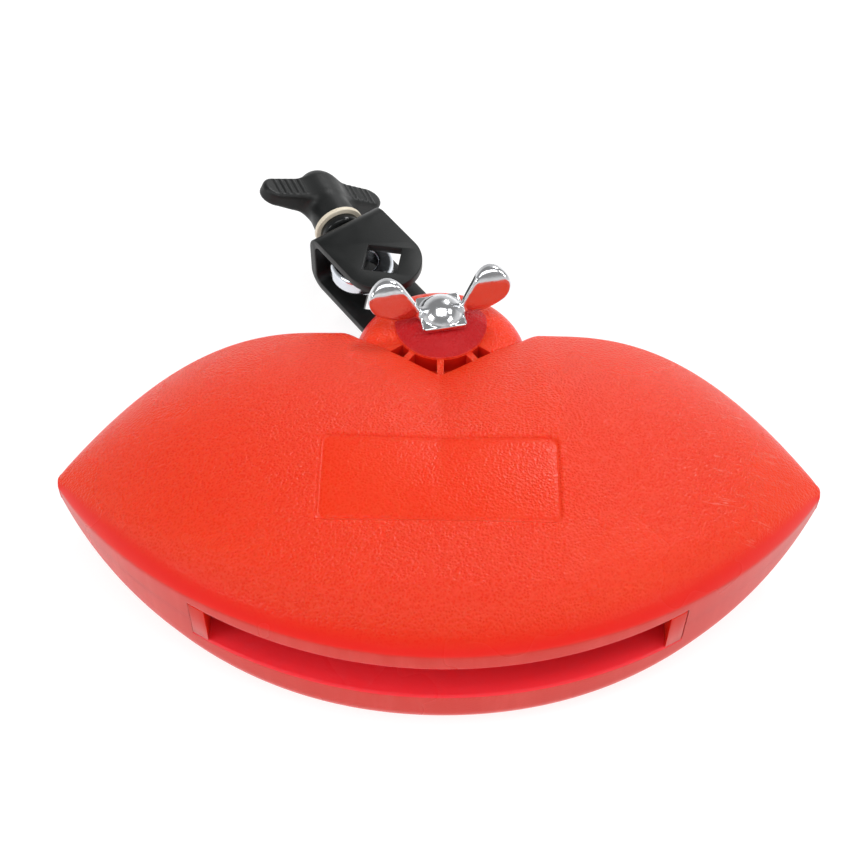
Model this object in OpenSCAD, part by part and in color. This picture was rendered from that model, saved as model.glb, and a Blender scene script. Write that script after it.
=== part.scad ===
// Moulded percussion block with a sounding slot, a ribbed lug and a rod clamp.
// Origin: centre of the flat sole under the block. +Z is up, +Y points to the lug and the clamp.

/* [Block] */
// Width from tip to tip
body_w = 215; // [190:1:240]
// Depth from the front lip to the back of the lobes
body_d = 115.8; // [108:0.1:124]
// How far the tips lie behind the middle of the front lip
front_sag = 59.6; // [54:0.1:64]
// Height of the front wall in the middle
lip_h = 47.4; // [42:0.1:52]
// Height of the block at its tips
tip_h = 5.7; // [5:0.1:9]
// Width of each tip seen from above
tip_w = 3.5; // [3:0.1:5]
// Height of the back edge at the top of the lobes
back_h = 16.8; // [15:0.1:22]
// Height of the edge in the middle of the notch
notch_h = 19.6; // [18:0.1:24]
// Rise of the crowned faces between the front and back edges
crown_rise = 1.2; // [0.5:0.1:2]
// Depth to which the crowned underside is flattened into the sole
sole_flat = 0.5; // [0.3:0.1:0.8]
// Distance from the front lip to the centre of the sole
sole_y = 42; // [36:1:48]
// Wall thickness
wall = 4; // [3:0.1:5]
// Radius of the broad front shoulder of the upper shell
upper_shoulder_r = 23.6; // [18:0.1:26]
// Angle between the wall and the foot of that shoulder, where they meet in a crease
upper_crease = 35; // [20:1:45]
// Radius of the front shoulder of the lower shell
lower_shoulder_r = 8; // [6:0.1:10]
// Radius of the back edge on the lobes
lobe_edge_r = 7.2; // [5:0.1:8]
// Radius of the edge inside the notch
notch_edge_r = 1.2; // [0.8:0.1:2]

/* [Lobes and notch] */
// Distance from the middle plane to the top of each lobe
lobe_x = 37; // [33:0.1:41]
// Depth of the notch between the lobes
notch_d = 19.8; // [18:0.1:24]
// Angle of the straight sides of the notch
notch_angle = 31; // [28:0.5:34]
// How much the sides of the notch steepen towards the lobes
notch_flare = 28; // [22:0.5:34]
// Length over which notch and lobe blend
notch_blend = 10; // [8:0.5:12]

/* [Slot] */
// Length of the slot between the two posts
slot_w = 123; // [110:1:130]
// Height of the slot
slot_h = 14.4; // [12:0.1:16]
// Depth of the flat floor and ceiling of the slot
shelf_d = 14; // [11:0.5:20]
// Thickness of that floor and ceiling
shelf_t = 4; // [3:0.1:6]
// Thickness of the chamber frame and of the posts
frame_t = 4.5; // [3.5:0.1:5]
// Distance from the back of the lobes forward to the back of the chamber frame
frame_back_y = 31.8; // [30:0.1:38]
// Outer corner radius of the chamber frame
frame_corner_r = 20; // [16:0.5:24]
// Gap between a post and the edge of its opening
post_gap = 0.3; // [0.2:0.05:0.5]

/* [Lug] */
// Distance from the back of the lobes forward to the centre of the lug's round edge
lug_y = 7.8; // [6:0.1:10]
// Radius of the lug
lug_r = 26.3; // [25:0.1:28]
// Thickness of the lug
lug_h = 15.9; // [14:0.1:17]
// Distance from the centre of the lug back to the pivot bolt
pivot_y = 9.4; // [8:0.1:11]
// Radius of the foot of the clamping boss
boss_foot_r = 14; // [13:0.1:15]
// Radius of the top of the clamping boss
boss_top_r = 7; // [6.8:0.1:9]
// Height of the clamping boss above the lug
boss_h = 3.6; // [2.5:0.1:4]
// Thickness of the ribs between the pockets
rib_t = 2; // [1.6:0.1:3]
// Angle between the middle rib and each slanted rib
rib_angle = 36; // [32:1:40]
// Half the width of the row of pockets
pocket_half_w = 15.3; // [14:0.1:17]
// Depth of the pockets
pocket_d = 5.5; // [4:0.1:6]

/* [Name plate] */
// Width of the bare plate
plate_w = 65; // [56:0.5:70]
// Depth of the bare plate, front to back
plate_l = 27; // [22:0.5:30]
// Distance from the front lip to the centre of the plate
plate_y = 48.5; // [46:0.1:54]
// Corner radius of the plate
plate_corner_r = 3; // [2:0.1:5]
// Depth of the plate below the face
plate_recess = 0.6; // [0.4:0.1:1]

/* [Wing bolt] */
// Diameter of both threaded rods
thread_d = 8; // [7.5:0.1:8.4]
// Width of the square foot of the wing head
wing_foot_w = 13.4; // [12.6:0.1:14.4]
// Height of the square foot
wing_foot_h = 2; // [1.6:0.1:2.6]
// Radius of the domed hub
wing_dome_r = 6.6; // [6.2:0.1:6.8]
// Height of the domed hub above the foot
wing_dome_h = 4; // [3.4:0.1:5]
// Span of the ears
wing_span = 42.4; // [40:0.1:45]
// Radius of the round end of an ear
ear_r = 5.9; // [5:0.1:6.5]
// Length of an ear from its foot to its top
ear_l = 16.3; // [14:0.1:17.5]
// Sheet thickness of an ear
ear_t = 2.2; // [1.6:0.1:2.6]
// Backward lean of the ears
ear_lean = 15; // [8:1:20]
// Turn of the wing head about its stud
wing_yaw = 12; // [0:1:20]

/* [Bracket] */
// Width of the steel strap
strap_w = 24.8; // [23:0.1:26]
// Thickness of the strap
strap_t = 2.9; // [2.6:0.1:3.2]
// Height of the bracket over both flanges
bracket_h = 21; // [20:0.1:22]
// Distance from the pivot to the outer face of the web
web_d = 52.8; // [51:0.1:55]
// Distance from the pivot to the centre of the rod holes
rod_hole_d = 30.5; // [29.5:0.1:31]
// Side of the square rod holes, which are set cornerwise
rod_hole_w = 10.6; // [10.2:0.1:11]
// Inner radius of the bends
bend_r = 2.8; // [1:0.1:3.4]
// Direction of the arm, counted from straight back to the left
arm_angle = 37; // [20:1:45]

/* [Eyebolt] */
// Radius of the rod bore through the eye
eye_bore_r = 5.3; // [5:0.05:5.5]
// Outer radius of the eye
eye_r = 10; // [9:0.1:10.4]
// Height of the eye
eye_h = 6.2; // [5.4:0.1:7]
// Gap between the eye and the web at rest
eye_gap = 0.3; // [0.3:0.1:1]
// Skew of the loosened eyebolt in the hole of the web
skew = 12; // [0:1:12]
// Sideways shift of the loosened eyebolt in that hole
shift = 0.8; // [0:0.1:0.9]
// Length of the eyebolt beyond the web
shank_reach = 24; // [22:0.5:25]

/* [Knob] */
// Length of the collar
collar_l = 3.4; // [3:0.1:5]
// Diameter of the collar
collar_dia = 13.6; // [13:0.1:14.4]
// Chamfer round the collar's nose, where it meets the web
collar_nose = 0.8; // [0.6:0.1:1.2]
// Thickness of the ivory washer
washer_t = 1.6; // [1.2:0.1:2]
// Diameter of the ivory washer
washer_dia = 16.4; // [15:0.1:17]
// Length of the knob's hub
knob_l = 24.4; // [22:0.1:26]
// Diameter of the hub at the washer
knob_neck_dia = 14.6; // [14:0.1:15.6]
// Diameter of the hub under its dome
knob_hub_dia = 13.4; // [13.2:0.1:15]
// Span of the knob's wings
knob_span = 45; // [42:0.5:50]
// Width of a wing along the knob's axis
knob_wing_w = 9.2; // [8:0.1:11]
// Thickness of a wing at its tip
knob_tip_t = 5; // [4:0.1:6]
// Turn of the wings about the knob's axis
knob_turn = 28; // [10:1:40]
// Height of the grip ribs on the wings
grip_rib_h = 0.5; // [0.3:0.1:0.8]
// Number of grip ribs on each face of a wing
grip_ribs = 4; // [3:1:5]

/* [Hidden] */
$fn = 64;

// How far a cutter runs past the face that it cuts
over = 1;
// Gap between faces that rest on each other and belong to different bodies
seat_gap = 0.05;
// Radial play of a threaded rod in its nut or insert
thread_play = 0.05;
// Radial play of a threaded rod in a plain hole
hole_play = 0.4;
// Extra radial play in the web, which lets the eyebolt lean
lean_play = 0.9;
// Least gap between the collar's nose and the web
nose_gap = 0.1;
// Gap between the end of the eyebolt and the floor of the knob's bore
shank_tip_gap = 3.3;

// Shape of the outline and of the faces: powers, all without a unit
back_power = 2.33;
lip_power = 3.45;
edge_power = 2.2;
fall_power = 2.8;
shoulder_share = 0.43;
edge_share = 0.8;
wing_middle_share = 0.592;
rounding_from_share = 0.7;
rounding_to_share = 0.75;

// Stations along the width, and steps along each curve of a cross-section
half_stations = 16;
tip_steps = [60, 30];
shoulder_steps = 4;
fillet_steps = 3;
face_steps = 7;
cavity_stations = 12;
cavity_face_steps = 5;
plate_steps = 6;

half_w = body_w / 2;
front_r = (half_w * half_w + front_sag * front_sag) / (2 * front_sag);
back_fall = body_d - front_sag - tip_w;
tip_cap = tip_w / 5;
tip_start_x = half_w - tip_cap;
cavity_half_w = half_w - 2.4 * wall;
upper_shoulder = [upper_shoulder_r, upper_crease];
lower_shoulder = [lower_shoulder_r, 0];
middle_z = top_z(0, sole_y, lower_shoulder) - sole_flat;
thread_r = thread_d / 2;
hole_r = thread_r + hole_play;

frame_end_y = body_d - frame_back_y;
lug_mid_y = body_d - lug_y;
bolt_y = lug_mid_y + pivot_y;
lug_half = lug_h / 2;
boss_top_z = lug_half + boss_h;
pocket_floor_z = lug_half - pocket_d;
pocket_foot_r = boss_foot_r + notch_edge_r / 4;

arm_top_z = -lug_half - seat_gap;
arm_bottom_z = arm_top_z - strap_t;
bracket_top_z = arm_bottom_z + bracket_h;
axis_z = (arm_bottom_z + bracket_top_z) / 2;
bend_outer_r = bend_r + strap_t;
web_inner_d = web_d - strap_t;

lock_washer_t = 1.6;
lock_washer_r = 6.6;
lock_washer_cut = 1.2;
nut_flats = 13;
nut_h = 5;
nut_top_z = arm_bottom_z - seat_gap - lock_washer_t;
stud_below_nut = 1;
stud_bottom_z = nut_top_z - nut_h - stud_below_nut;
wing_foot_z = boss_top_z + seat_gap;
stud_bite = wing_foot_h + wing_dome_h / 2;

web_mid_d = web_d - strap_t / 2;
nose_r = collar_dia / 2 - collar_nose;
eye_e = -(strap_t / 2 + eye_gap + eye_r) / cos(skew);
eye_edge_r = eye_h / 6;
collar_e = (strap_t / 2 + nose_gap + nose_r * sin(skew)) / cos(skew);
washer_e = collar_e + collar_l;
knob_e = washer_e + washer_t + seat_gap;
knob_dome_l = knob_hub_dia / 2;
knob_wing_z = wing_middle_share * knob_l;
knob_root_t = 1.7 * knob_tip_t;
insert_wall = 2;
insert_r = thread_r + insert_wall;
insert_l = knob_l / 2;
shank_end_e = strap_t / 2 + shank_reach;
knob_bore_l = shank_end_e + shank_tip_gap - knob_e;

function front_y(x) = front_r - sqrt(front_r * front_r - x * x);

function soft_step(t) = let (c = max(0, min(1, t))) c * c * (3 - 2 * c);

function mix(a, b, t) = a + (b - a) * t;

function soft_min(a, b, k) = let (h = max(0, min(1, 0.5 + 0.5 * (b - a) / k))) mix(b, a, h) - k * h * (1 - h);

function notch_y(x) = body_d - notch_d + x * tan(notch_angle) + notch_flare * pow(x / lobe_x, 4);

function lobe_y(x) = body_d - back_fall * pow((x - lobe_x) / (half_w - lobe_x), back_power);

function back_y(x) = let (a = abs(x)) a < lobe_x ? soft_min(body_d, notch_y(a), notch_blend) : lobe_y(a);

function lip_half(x) = mix(lip_h, tip_h, pow(abs(x) / half_w, lip_power)) / 2;

// Share of the way from the crisp edge of the notch to the round edge of a lobe
function lobe_share(x) =
    let (a = rounding_from_share * pocket_half_w, b = rounding_to_share * lobe_x)
    soft_step((abs(x) - a) / (b - a));

function back_half(x) = mix(mix(notch_h, back_h, lobe_share(x)), tip_h, pow(abs(x) / half_w, edge_power)) / 2;

// Front and back ends of the cross-section at x, drawn in round the tip
function section_ends(x) =
    let (a = abs(x), c = min(a, tip_start_x))
    let (mid = (front_y(c) + back_y(c)) / 2, half = (back_y(c) - front_y(c)) / 2)
    let (share = a > tip_start_x ? sqrt(1 - pow((a - tip_start_x) / tip_cap, 2)) : 1)
    [mid - half * share, mid + half * share];

// Height of the crowned face, with v running from the front fillet to the back one
function face_z(x, v) =
    let (crown = crown_rise * (1 - pow(x / half_w, 2)) * 4 * v * (1 - v))
    mix(lip_half(x), back_half(x), pow(v, fall_power)) + crown;

// A shoulder is given as its radius and the angle at which its arc starts
function front_fillet(x, len, shoulder) =
    min(shoulder[0], 0.4 * len, shoulder_share * lip_half(x) / (1 - sin(shoulder[1])));

function back_fillet(x, len) =
    min(mix(notch_edge_r, lobe_edge_r, lobe_share(x)), 0.4 * len, edge_share * back_half(x));

// Downward slope of the face where it meets the back fillet
function end_slope(x, len, shoulder) =
    let (crown = crown_rise * (1 - pow(x / half_w, 2)), fall = fall_power * (lip_half(x) - back_half(x)))
    atan2(fall + 4 * crown, len - front_fillet(x, len, shoulder) - back_fillet(x, len) / 2);

// Height of the face at a place given in plan
function top_z(x, y, shoulder) =
    let (e = section_ends(x), len = e[1] - e[0])
    let (a = e[0] + front_fillet(x, len, shoulder) * cos(shoulder[1]))
    let (b = e[1] - back_fillet(x, len) * (1 - sin(end_slope(x, len, shoulder))))
    face_z(x, max(0, min(1, (y - a) / (b - a))));

// Cross-section at x from the front foot over the face to the back foot, set in by a wall thickness
function section(x, inset, steps, foot_z, shoulder) =
    let (e = section_ends(x), len = e[1] - e[0], y0 = e[0] + inset, y1 = e[1] - inset)
    let (rf = max(front_fillet(x, len, shoulder) - inset, inset / 2))
    let (rb = max(back_fillet(x, len) - inset, inset / 2))
    let (slope = end_slope(x, len, shoulder), zf = face_z(x, 0) - inset, zb = face_z(x, 1) - inset)
    let (ya = y0 + rf * cos(shoulder[1]), yb = y1 - rb * (1 - sin(slope)))
    concat(
        [[x, y0, foot_z]],
        [
            for (i = [0 : shoulder_steps])
                let (a = mix(shoulder[1], 90, i / shoulder_steps))
                    [x, ya - rf * cos(a), zf - rf * (1 - sin(a))]
        ],
        [for (i = [1 : steps - 1]) let (v = i / steps) [x, mix(ya, yb, v), face_z(x, v) - inset]],
        [
            for (i = [0 : fillet_steps])
                let (a = mix(slope, 90, i / fillet_steps))
                    [x, y1 - rb * (1 - sin(a)), zb - rb * (cos(slope) - cos(a))]
        ],
        [[x, y1, foot_z]]
    );

// Closed solid through equal cross-sections, each face split into triangles
module loft(sections) {
    n = len(sections[0]);
    m = len(sections);
    sides = [
        for (i = [0 : m - 2], j = [0 : n - 1])
            let (a = i * n + j, b = i * n + (j + 1) % n, c = a + n, d = b + n)
                each [[a, b, d], [a, d, c]]
    ];
    first = [for (j = [0 : n - 1]) n - 1 - j];
    last = [for (j = [0 : n - 1]) (m - 1) * n + j];
    polyhedron(points = [for (s = sections) each s], faces = concat(sides, [first, last]), convexity = 6);
}

function stations() = concat(
    [for (i = [len(tip_steps) - 1 : -1 : 0]) -tip_start_x - tip_cap * cos(tip_steps[i])],
    [for (i = [-half_stations : half_stations]) tip_start_x * i / half_stations],
    [for (a = tip_steps) tip_start_x + tip_cap * cos(a)]
);

// Solid upper half of the block, above the middle plane
module half_block(shoulder) {
    loft([for (x = stations()) section(x, 0, face_steps, 0, shoulder)]);
}

// Hollow of the upper half
module half_cavity(shoulder) {
    loft([
        for (i = [-cavity_stations : cavity_stations])
            section(cavity_half_w * i / cavity_stations, wall, cavity_face_steps, -wall, shoulder)
    ]);
}

// Plan of the flat floor and ceiling of the slot, between the posts
module shelf_plan() {
    half = slot_w / 2 + frame_t / 2;
    difference() {
        translate([-half, 0]) square([2 * half, front_sag]);
        translate([0, front_r + shelf_d]) circle(r = front_r, $fn = 256);
    }
}

// Plan of the chamber frame, whose open ends reach the front face
module frame_plan() {
    half = slot_w / 2 + frame_t;
    inner_r = frame_corner_r - frame_t;
    difference() {
        intersection() {
            rounded_u(half, frame_end_y, frame_corner_r);
            translate([0, front_r]) circle(r = front_r, $fn = 256);
        }
        rounded_u(slot_w / 2, frame_end_y - frame_t, inner_r);
    }
}

// Area from behind the front lip to back_edge, with two round back corners
module rounded_u(half, back_edge, r) {
    translate([-half, -over]) square([2 * half, back_edge - r + over]);
    translate([-half + r, 0]) square([2 * half - 2 * r, back_edge]);
    for (side = [-1, 1]) translate([side * (half - r), back_edge - r]) circle(r = r);
}

// Half of the lug, with a round edge
module half_lug() {
    translate([0, lug_mid_y, 0]) rotate_extrude($fn = 96) {
        square([lug_r - lug_half, lug_half]);
        intersection() {
            translate([lug_r - lug_half, 0]) circle(r = lug_half);
            square([lug_r, lug_half]);
        }
    }
}

// Plan of the pockets between the notch and the boss, parted by three ribs
module pocket_plan() {
    apex_y = body_d - notch_d + notch_edge_r / 2;
    side_y = apex_y + pocket_half_w * tan(notch_angle);
    difference() {
        polygon([[0, apex_y], [pocket_half_w, side_y], [0, bolt_y], [-pocket_half_w, side_y]]);
        translate([0, bolt_y]) circle(r = pocket_foot_r);
        translate([0, bolt_y]) for (a = [-rib_angle, 0, rib_angle])
            rotate(a) translate([-rib_t / 2, -lug_r]) square([rib_t, lug_r]);
    }
}

// Cutter whose underside follows the face at the depth of the plate
module plate_cutter() {
    x1 = plate_w / 2 + over;
    y0 = plate_y - plate_l / 2 - over;
    y1 = plate_y + plate_l / 2 + over;
    high = lip_h;
    intersection() {
        loft([
            for (i = [-plate_steps : plate_steps])
                let (x = x1 * i / plate_steps)
                    concat(
                        [[x, y0, high], [x, y1, high]],
                        [
                            for (j = [0 : plate_steps])
                                let (y = mix(y1, y0, j / plate_steps))
                                    [x, y, top_z(x, y, upper_shoulder) - plate_recess]
                        ]
                    )
        ]);
        translate([0, plate_y, 0]) linear_extrude(height = high + over)
            rounded_rectangle(plate_w, plate_l, plate_corner_r);
    }
}

module rounded_rectangle(w, l, r) {
    square([w - 2 * r, l], center = true);
    square([w, l - 2 * r], center = true);
    for (i = [-1, 1], j = [-1, 1]) translate([i * (w / 2 - r), j * (l / 2 - r)]) circle(r = r, $fn = 32);
}

// Half shell with its half of the lug, in the block's own frame
module half_shell(shoulder) {
    opening_w = slot_w + 2 * frame_t + 2 * post_gap;
    difference() {
        union() {
            half_block(shoulder);
            half_lug();
        }
        difference() {
            half_cavity(shoulder);
            translate([0, 0, slot_h / 2]) linear_extrude(height = lip_h) frame_plan();
            translate([0, 0, slot_h / 2]) linear_extrude(height = shelf_t) shelf_plan();
        }
        translate([-opening_w / 2, -over, -over]) cube([opening_w, front_sag / 2, slot_h / 2 + over]);
        translate([0, 0, pocket_floor_z]) linear_extrude(height = pocket_d + over) pocket_plan();
        translate([0, bolt_y, -over]) cylinder(r = hole_r, h = lug_h);
    }
}

// Puts a piece drawn in the block's frame into the part's frame
module in_part() {
    translate([0, -sole_y, middle_z]) children();
}

// Puts a piece drawn along the arm, with +Y away from the pivot, into the part's frame
module on_arm() {
    in_part() translate([0, bolt_y, 0]) rotate(arm_angle) children();
}

// Puts a piece drawn along the eyebolt, with +Y away from the web's hole, into the part's frame
module on_eyebolt() {
    on_arm() translate([shift, web_mid_d, axis_z]) rotate(-skew) children();
}

// Lays a piece drawn along +Z onto the eyebolt's axis, at distance e from the web's hole
module along_eyebolt(e) {
    translate([0, e, 0]) rotate([-90, 0, 0]) children();
}

module upper_shell() {
    color("orangered") in_part() difference() {
        union() {
            half_shell(upper_shoulder);
            // The boss ends where the flat top of the lug ends
            intersection() {
                translate([0, bolt_y, lug_half]) difference() {
                    cylinder(r1 = boss_foot_r, r2 = boss_top_r, h = boss_h);
                    translate([0, 0, -over]) cylinder(r = hole_r, h = boss_h + 2 * over);
                }
                translate([0, lug_mid_y, 0]) cylinder(r = lug_r - lug_half, h = boss_top_z + over, $fn = 96);
            }
        }
        plate_cutter();
    }
}

module lower_shell() {
    color("orangered") in_part() intersection() {
        mirror([0, 0, 1]) half_shell(lower_shoulder);
        translate([-half_w - over, -over, -middle_z]) cube([body_w + 2 * over, 2 * body_d, middle_z + over]);
    }
}

module chamber_frame() {
    color("firebrick") in_part() translate([0, 0, -slot_h / 2]) linear_extrude(height = slot_h) frame_plan();
}

module ear_plan(side) {
    tip_x = wing_span / 2 - ear_r;
    heel_r = ear_r / 2;
    root_r = ear_t / 2;
    hull() {
        translate([side * tip_x, ear_l - ear_r]) circle(r = ear_r, $fn = 32);
        translate([side * (tip_x - heel_r), heel_r]) circle(r = heel_r, $fn = 16);
        translate([side * (wing_foot_w / 2 - root_r), root_r]) circle(r = root_r, $fn = 16);
    }
}

module wing_head() {
    color("silver") in_part() translate([0, bolt_y, wing_foot_z]) rotate(wing_yaw) difference() {
        union() {
            linear_extrude(height = wing_foot_h) rounded_rectangle(wing_foot_w, wing_foot_w, ear_t / 2);
            translate([0, 0, wing_foot_h]) rotate_extrude() intersection() {
                scale_r = (wing_dome_r * wing_dome_r + wing_dome_h * wing_dome_h) / (2 * wing_dome_h);
                translate([0, wing_dome_h - scale_r]) circle(r = scale_r, $fn = 96);
                square([wing_dome_r, wing_dome_h]);
            }
            for (side = [-1, 1]) translate([0, ear_t / 2, 0]) rotate([90 - ear_lean, 0, 0])
                linear_extrude(height = ear_t) ear_plan(side);
        }
        translate([0, 0, -over]) cylinder(r = thread_r, h = stud_bite + over);
    }
}

module wing_stud() {
    top_z = wing_foot_z + stud_bite;
    color("lightgray") in_part() translate([0, bolt_y, stud_bottom_z])
        cylinder(r = thread_r, h = top_z - stud_bottom_z);
}

module pivot_lock_washer() {
    color("gray") on_arm() translate([0, 0, nut_top_z]) difference() {
        cylinder(r = lock_washer_r, h = lock_washer_t);
        translate([0, 0, -over]) cylinder(r = hole_r, h = lock_washer_t + 2 * over);
        translate([-lock_washer_cut / 2, 0, -over])
            cube([lock_washer_cut, 2 * lock_washer_r, lock_washer_t + 2 * over]);
    }
}

module pivot_nut() {
    color("lightgray") on_arm() translate([0, 0, nut_top_z - nut_h]) difference() {
        cylinder(r = nut_flats / 2 / cos(30), h = nut_h, $fn = 6);
        translate([0, 0, -over]) cylinder(r = thread_r + thread_play, h = nut_h + 2 * over);
    }
}

// Side view of the bends and the web, drawn with X along the arm and Y up
module strap_side() {
    d0 = web_d - bend_outer_r;
    translate([web_inner_d, bend_outer_r]) square([strap_t, bracket_h - 2 * bend_outer_r]);
    for (centre_y = [bend_outer_r, bracket_h - bend_outer_r]) translate([d0, centre_y]) difference() {
        circle(r = bend_outer_r);
        circle(r = bend_r);
        translate([-2 * bend_outer_r, -bend_outer_r - over])
            square([2 * bend_outer_r, 2 * bend_outer_r + 2 * over]);
        translate([-over, centre_y > bracket_h / 2 ? -bend_outer_r - over : 0])
            square([bend_outer_r + 2 * over, bend_outer_r + over]);
    }
}

// Flange from the bend to a round end about centre_d
module flange(centre_d) {
    linear_extrude(height = strap_t) {
        translate([0, centre_d]) circle(d = strap_w, $fn = 96);
        translate([-strap_w / 2, centre_d]) square([strap_w, web_d - bend_outer_r - centre_d]);
    }
}

module bracket() {
    color("#1c1c1e") on_arm() difference() {
        translate([0, 0, arm_bottom_z]) union() {
            flange(0);
            translate([0, 0, bracket_h - strap_t]) flange(rod_hole_d);
            translate([strap_w / 2, 0, 0]) rotate([90, 0, -90]) mirror([1, 0, 0])
                linear_extrude(height = strap_w) strap_side();
        }
        translate([0, rod_hole_d, arm_bottom_z - over]) linear_extrude(height = bracket_h + 2 * over)
            rotate(45) square(rod_hole_w, center = true);
        translate([0, 0, arm_bottom_z - over]) cylinder(r = hole_r, h = strap_t + 2 * over);
        translate([0, web_inner_d - over, axis_z]) rotate([-90, 0, 0])
            cylinder(r = hole_r + lean_play, h = strap_t + 2 * over);
    }
}

module eyebolt() {
    shank_e = eye_e + (eye_r + eye_bore_r) / 2;
    color("silver") on_eyebolt() difference() {
        union() {
            translate([0, eye_e, -eye_h / 2]) rotate_extrude($fn = 96) {
                square([eye_r - eye_edge_r, eye_h]);
                translate([0, eye_edge_r]) square([eye_r, eye_h - 2 * eye_edge_r]);
                for (z = [eye_edge_r, eye_h - eye_edge_r])
                    translate([eye_r - eye_edge_r, z]) circle(r = eye_edge_r);
            }
            along_eyebolt(shank_e) cylinder(r = thread_r, h = shank_end_e - shank_e);
        }
        translate([0, eye_e, -eye_h]) cylinder(r = eye_bore_r, h = 2 * eye_h);
    }
}

module knob_collar() {
    color("#101012") on_eyebolt() along_eyebolt(collar_e) difference() {
        union() {
            cylinder(r1 = nose_r, r2 = collar_dia / 2, h = collar_nose);
            translate([0, 0, collar_nose]) cylinder(d = collar_dia, h = collar_l - collar_nose);
        }
        translate([0, 0, -over]) cylinder(r = hole_r, h = collar_l + 2 * over);
    }
}

module knob_washer() {
    color("ivory") on_eyebolt() along_eyebolt(washer_e) difference() {
        cylinder(d = washer_dia, h = washer_t);
        translate([0, 0, -over]) cylinder(r = hole_r, h = washer_t + 2 * over);
    }
}

// Knob drawn along +Z from the washer, with its wings along X
module knob_form() {
    barrel_l = knob_l - knob_dome_l;
    rotate_extrude() {
        polygon([
            [0, 0], [knob_neck_dia / 2, 0], [knob_neck_dia / 2, knob_l / 6],
            [knob_hub_dia / 2, knob_l / 2], [knob_hub_dia / 2, barrel_l], [0, barrel_l]
        ]);
        translate([0, barrel_l]) intersection() {
            circle(r = knob_hub_dia / 2, $fn = 96);
            square([knob_hub_dia / 2, knob_dome_l]);
        }
    }
    for (side = [-1, 1]) {
        hull() {
            translate([side * (knob_span - knob_wing_w) / 2, 0, knob_wing_z]) rotate([90, 0, 0])
                cylinder(d = knob_wing_w, h = knob_tip_t, center = true, $fn = 32);
            translate([side * knob_hub_dia / 4, 0, knob_wing_z]) rotate([90, 0, 0])
                cylinder(d = knob_wing_w, h = knob_root_t, center = true, $fn = 32);
        }
        grip(side);
    }
}

// Ribs across both faces of one wing
module grip(side) {
    first_x = knob_hub_dia / 2 + knob_tip_t / 2;
    last_x = knob_span / 2 - knob_wing_w / 2;
    slope_x = (knob_span - knob_wing_w) / 2 - knob_hub_dia / 4;
    for (i = [0 : grip_ribs - 1], face = [-1, 1]) {
        x = mix(first_x, last_x, i / (grip_ribs - 1));
        half_t = mix(knob_root_t, knob_tip_t, (x - knob_hub_dia / 4) / slope_x) / 2;
        translate([side * x, face * (half_t - grip_rib_h), knob_wing_z])
            cylinder(r = 2 * grip_rib_h, h = 0.8 * knob_wing_w, center = true, $fn = 24);
    }
}

module wing_knob() {
    color("#151517") on_eyebolt() along_eyebolt(knob_e) rotate(knob_turn) difference() {
        knob_form();
        translate([0, 0, -over]) cylinder(r = insert_r, h = insert_l + over);
        translate([0, 0, -over]) cylinder(r = hole_r, h = knob_bore_l + over);
    }
}

module knob_insert() {
    color("goldenrod") on_eyebolt() along_eyebolt(knob_e) difference() {
        cylinder(r = insert_r, h = insert_l);
        translate([0, 0, -over]) cylinder(r = thread_r + thread_play, h = insert_l + 2 * over);
    }
}

upper_shell();
lower_shell();
chamber_frame();
wing_head();
wing_stud();
pivot_lock_washer();
pivot_nut();
bracket();
eyebolt();
knob_collar();
knob_washer();
wing_knob();
knob_insert();
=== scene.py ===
import math

import bmesh
import bpy
import numpy as np
from mathutils import Matrix, Vector


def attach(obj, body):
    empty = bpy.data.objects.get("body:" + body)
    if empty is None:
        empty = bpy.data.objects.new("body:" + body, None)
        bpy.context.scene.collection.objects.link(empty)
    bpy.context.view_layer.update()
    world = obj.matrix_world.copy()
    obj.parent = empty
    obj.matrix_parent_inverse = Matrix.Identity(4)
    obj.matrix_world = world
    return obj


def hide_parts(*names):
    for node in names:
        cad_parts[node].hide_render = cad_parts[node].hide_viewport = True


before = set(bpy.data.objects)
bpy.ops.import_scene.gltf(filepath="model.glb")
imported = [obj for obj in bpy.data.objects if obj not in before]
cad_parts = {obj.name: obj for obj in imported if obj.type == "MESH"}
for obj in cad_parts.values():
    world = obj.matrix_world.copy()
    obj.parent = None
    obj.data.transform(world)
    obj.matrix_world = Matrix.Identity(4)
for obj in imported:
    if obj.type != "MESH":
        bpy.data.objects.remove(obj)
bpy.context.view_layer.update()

# Lengths are in millimetres in the block's own frame: y = 0 at the front lip, z = 0 at the seam of the shells.
MM = 0.001
BODY_W, BODY_D, FRONT_SAG = 215.0, 115.8, 59.6
LIP_H, TIP_H, TIP_W = 47.4, 5.7, 3.5
BACK_H, NOTCH_H, CROWN = 16.8, 19.6, 1.2
SOLE_FLAT, SOLE_Y, WALL = 0.5, 42.0, 4.0
# Each shoulder is its radius and the angle in degrees at which its arc starts
UPPER_SHOULDER, LOWER_SHOULDER, SHOULDER_SHARE = (23.6, 35.0), (8.0, 0.0), 0.43
LOBE_R, NOTCH_R = 7.2, 1.2
LOBE_X, NOTCH_D, NOTCH_ANGLE, NOTCH_FLARE, NOTCH_BLEND = 37.0, 19.8, 31.0, 28.0, 10.0
SLOT_W, SLOT_H, SHELF_D, SHELF_T = 123.0, 14.4, 14.0, 4.0
FRAME_T, FRAME_BACK, FRAME_CORNER = 4.5, BODY_D - 31.8, 20.0
GAP_LEFT, GAP_RIGHT = 0.02, 0.24
LUG_Y, LUG_R, LUG_H = BODY_D - 7.8, 26.3, 15.9
PIVOT_Y = LUG_Y + 9.4
BOSS_FOOT, BOSS_TOP, BOSS_H = 14.0, 7.0, 3.6
RIB_T, RIB_ANGLE, POCKET_HALF_W, POCKET_D = 2.0, 36.0, 15.3, 5.5
PLATE_W, PLATE_L, PLATE_Y, PLATE_R, RECESS = 65.0, 29.0, 49.5, 3.0, 0.6
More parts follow.
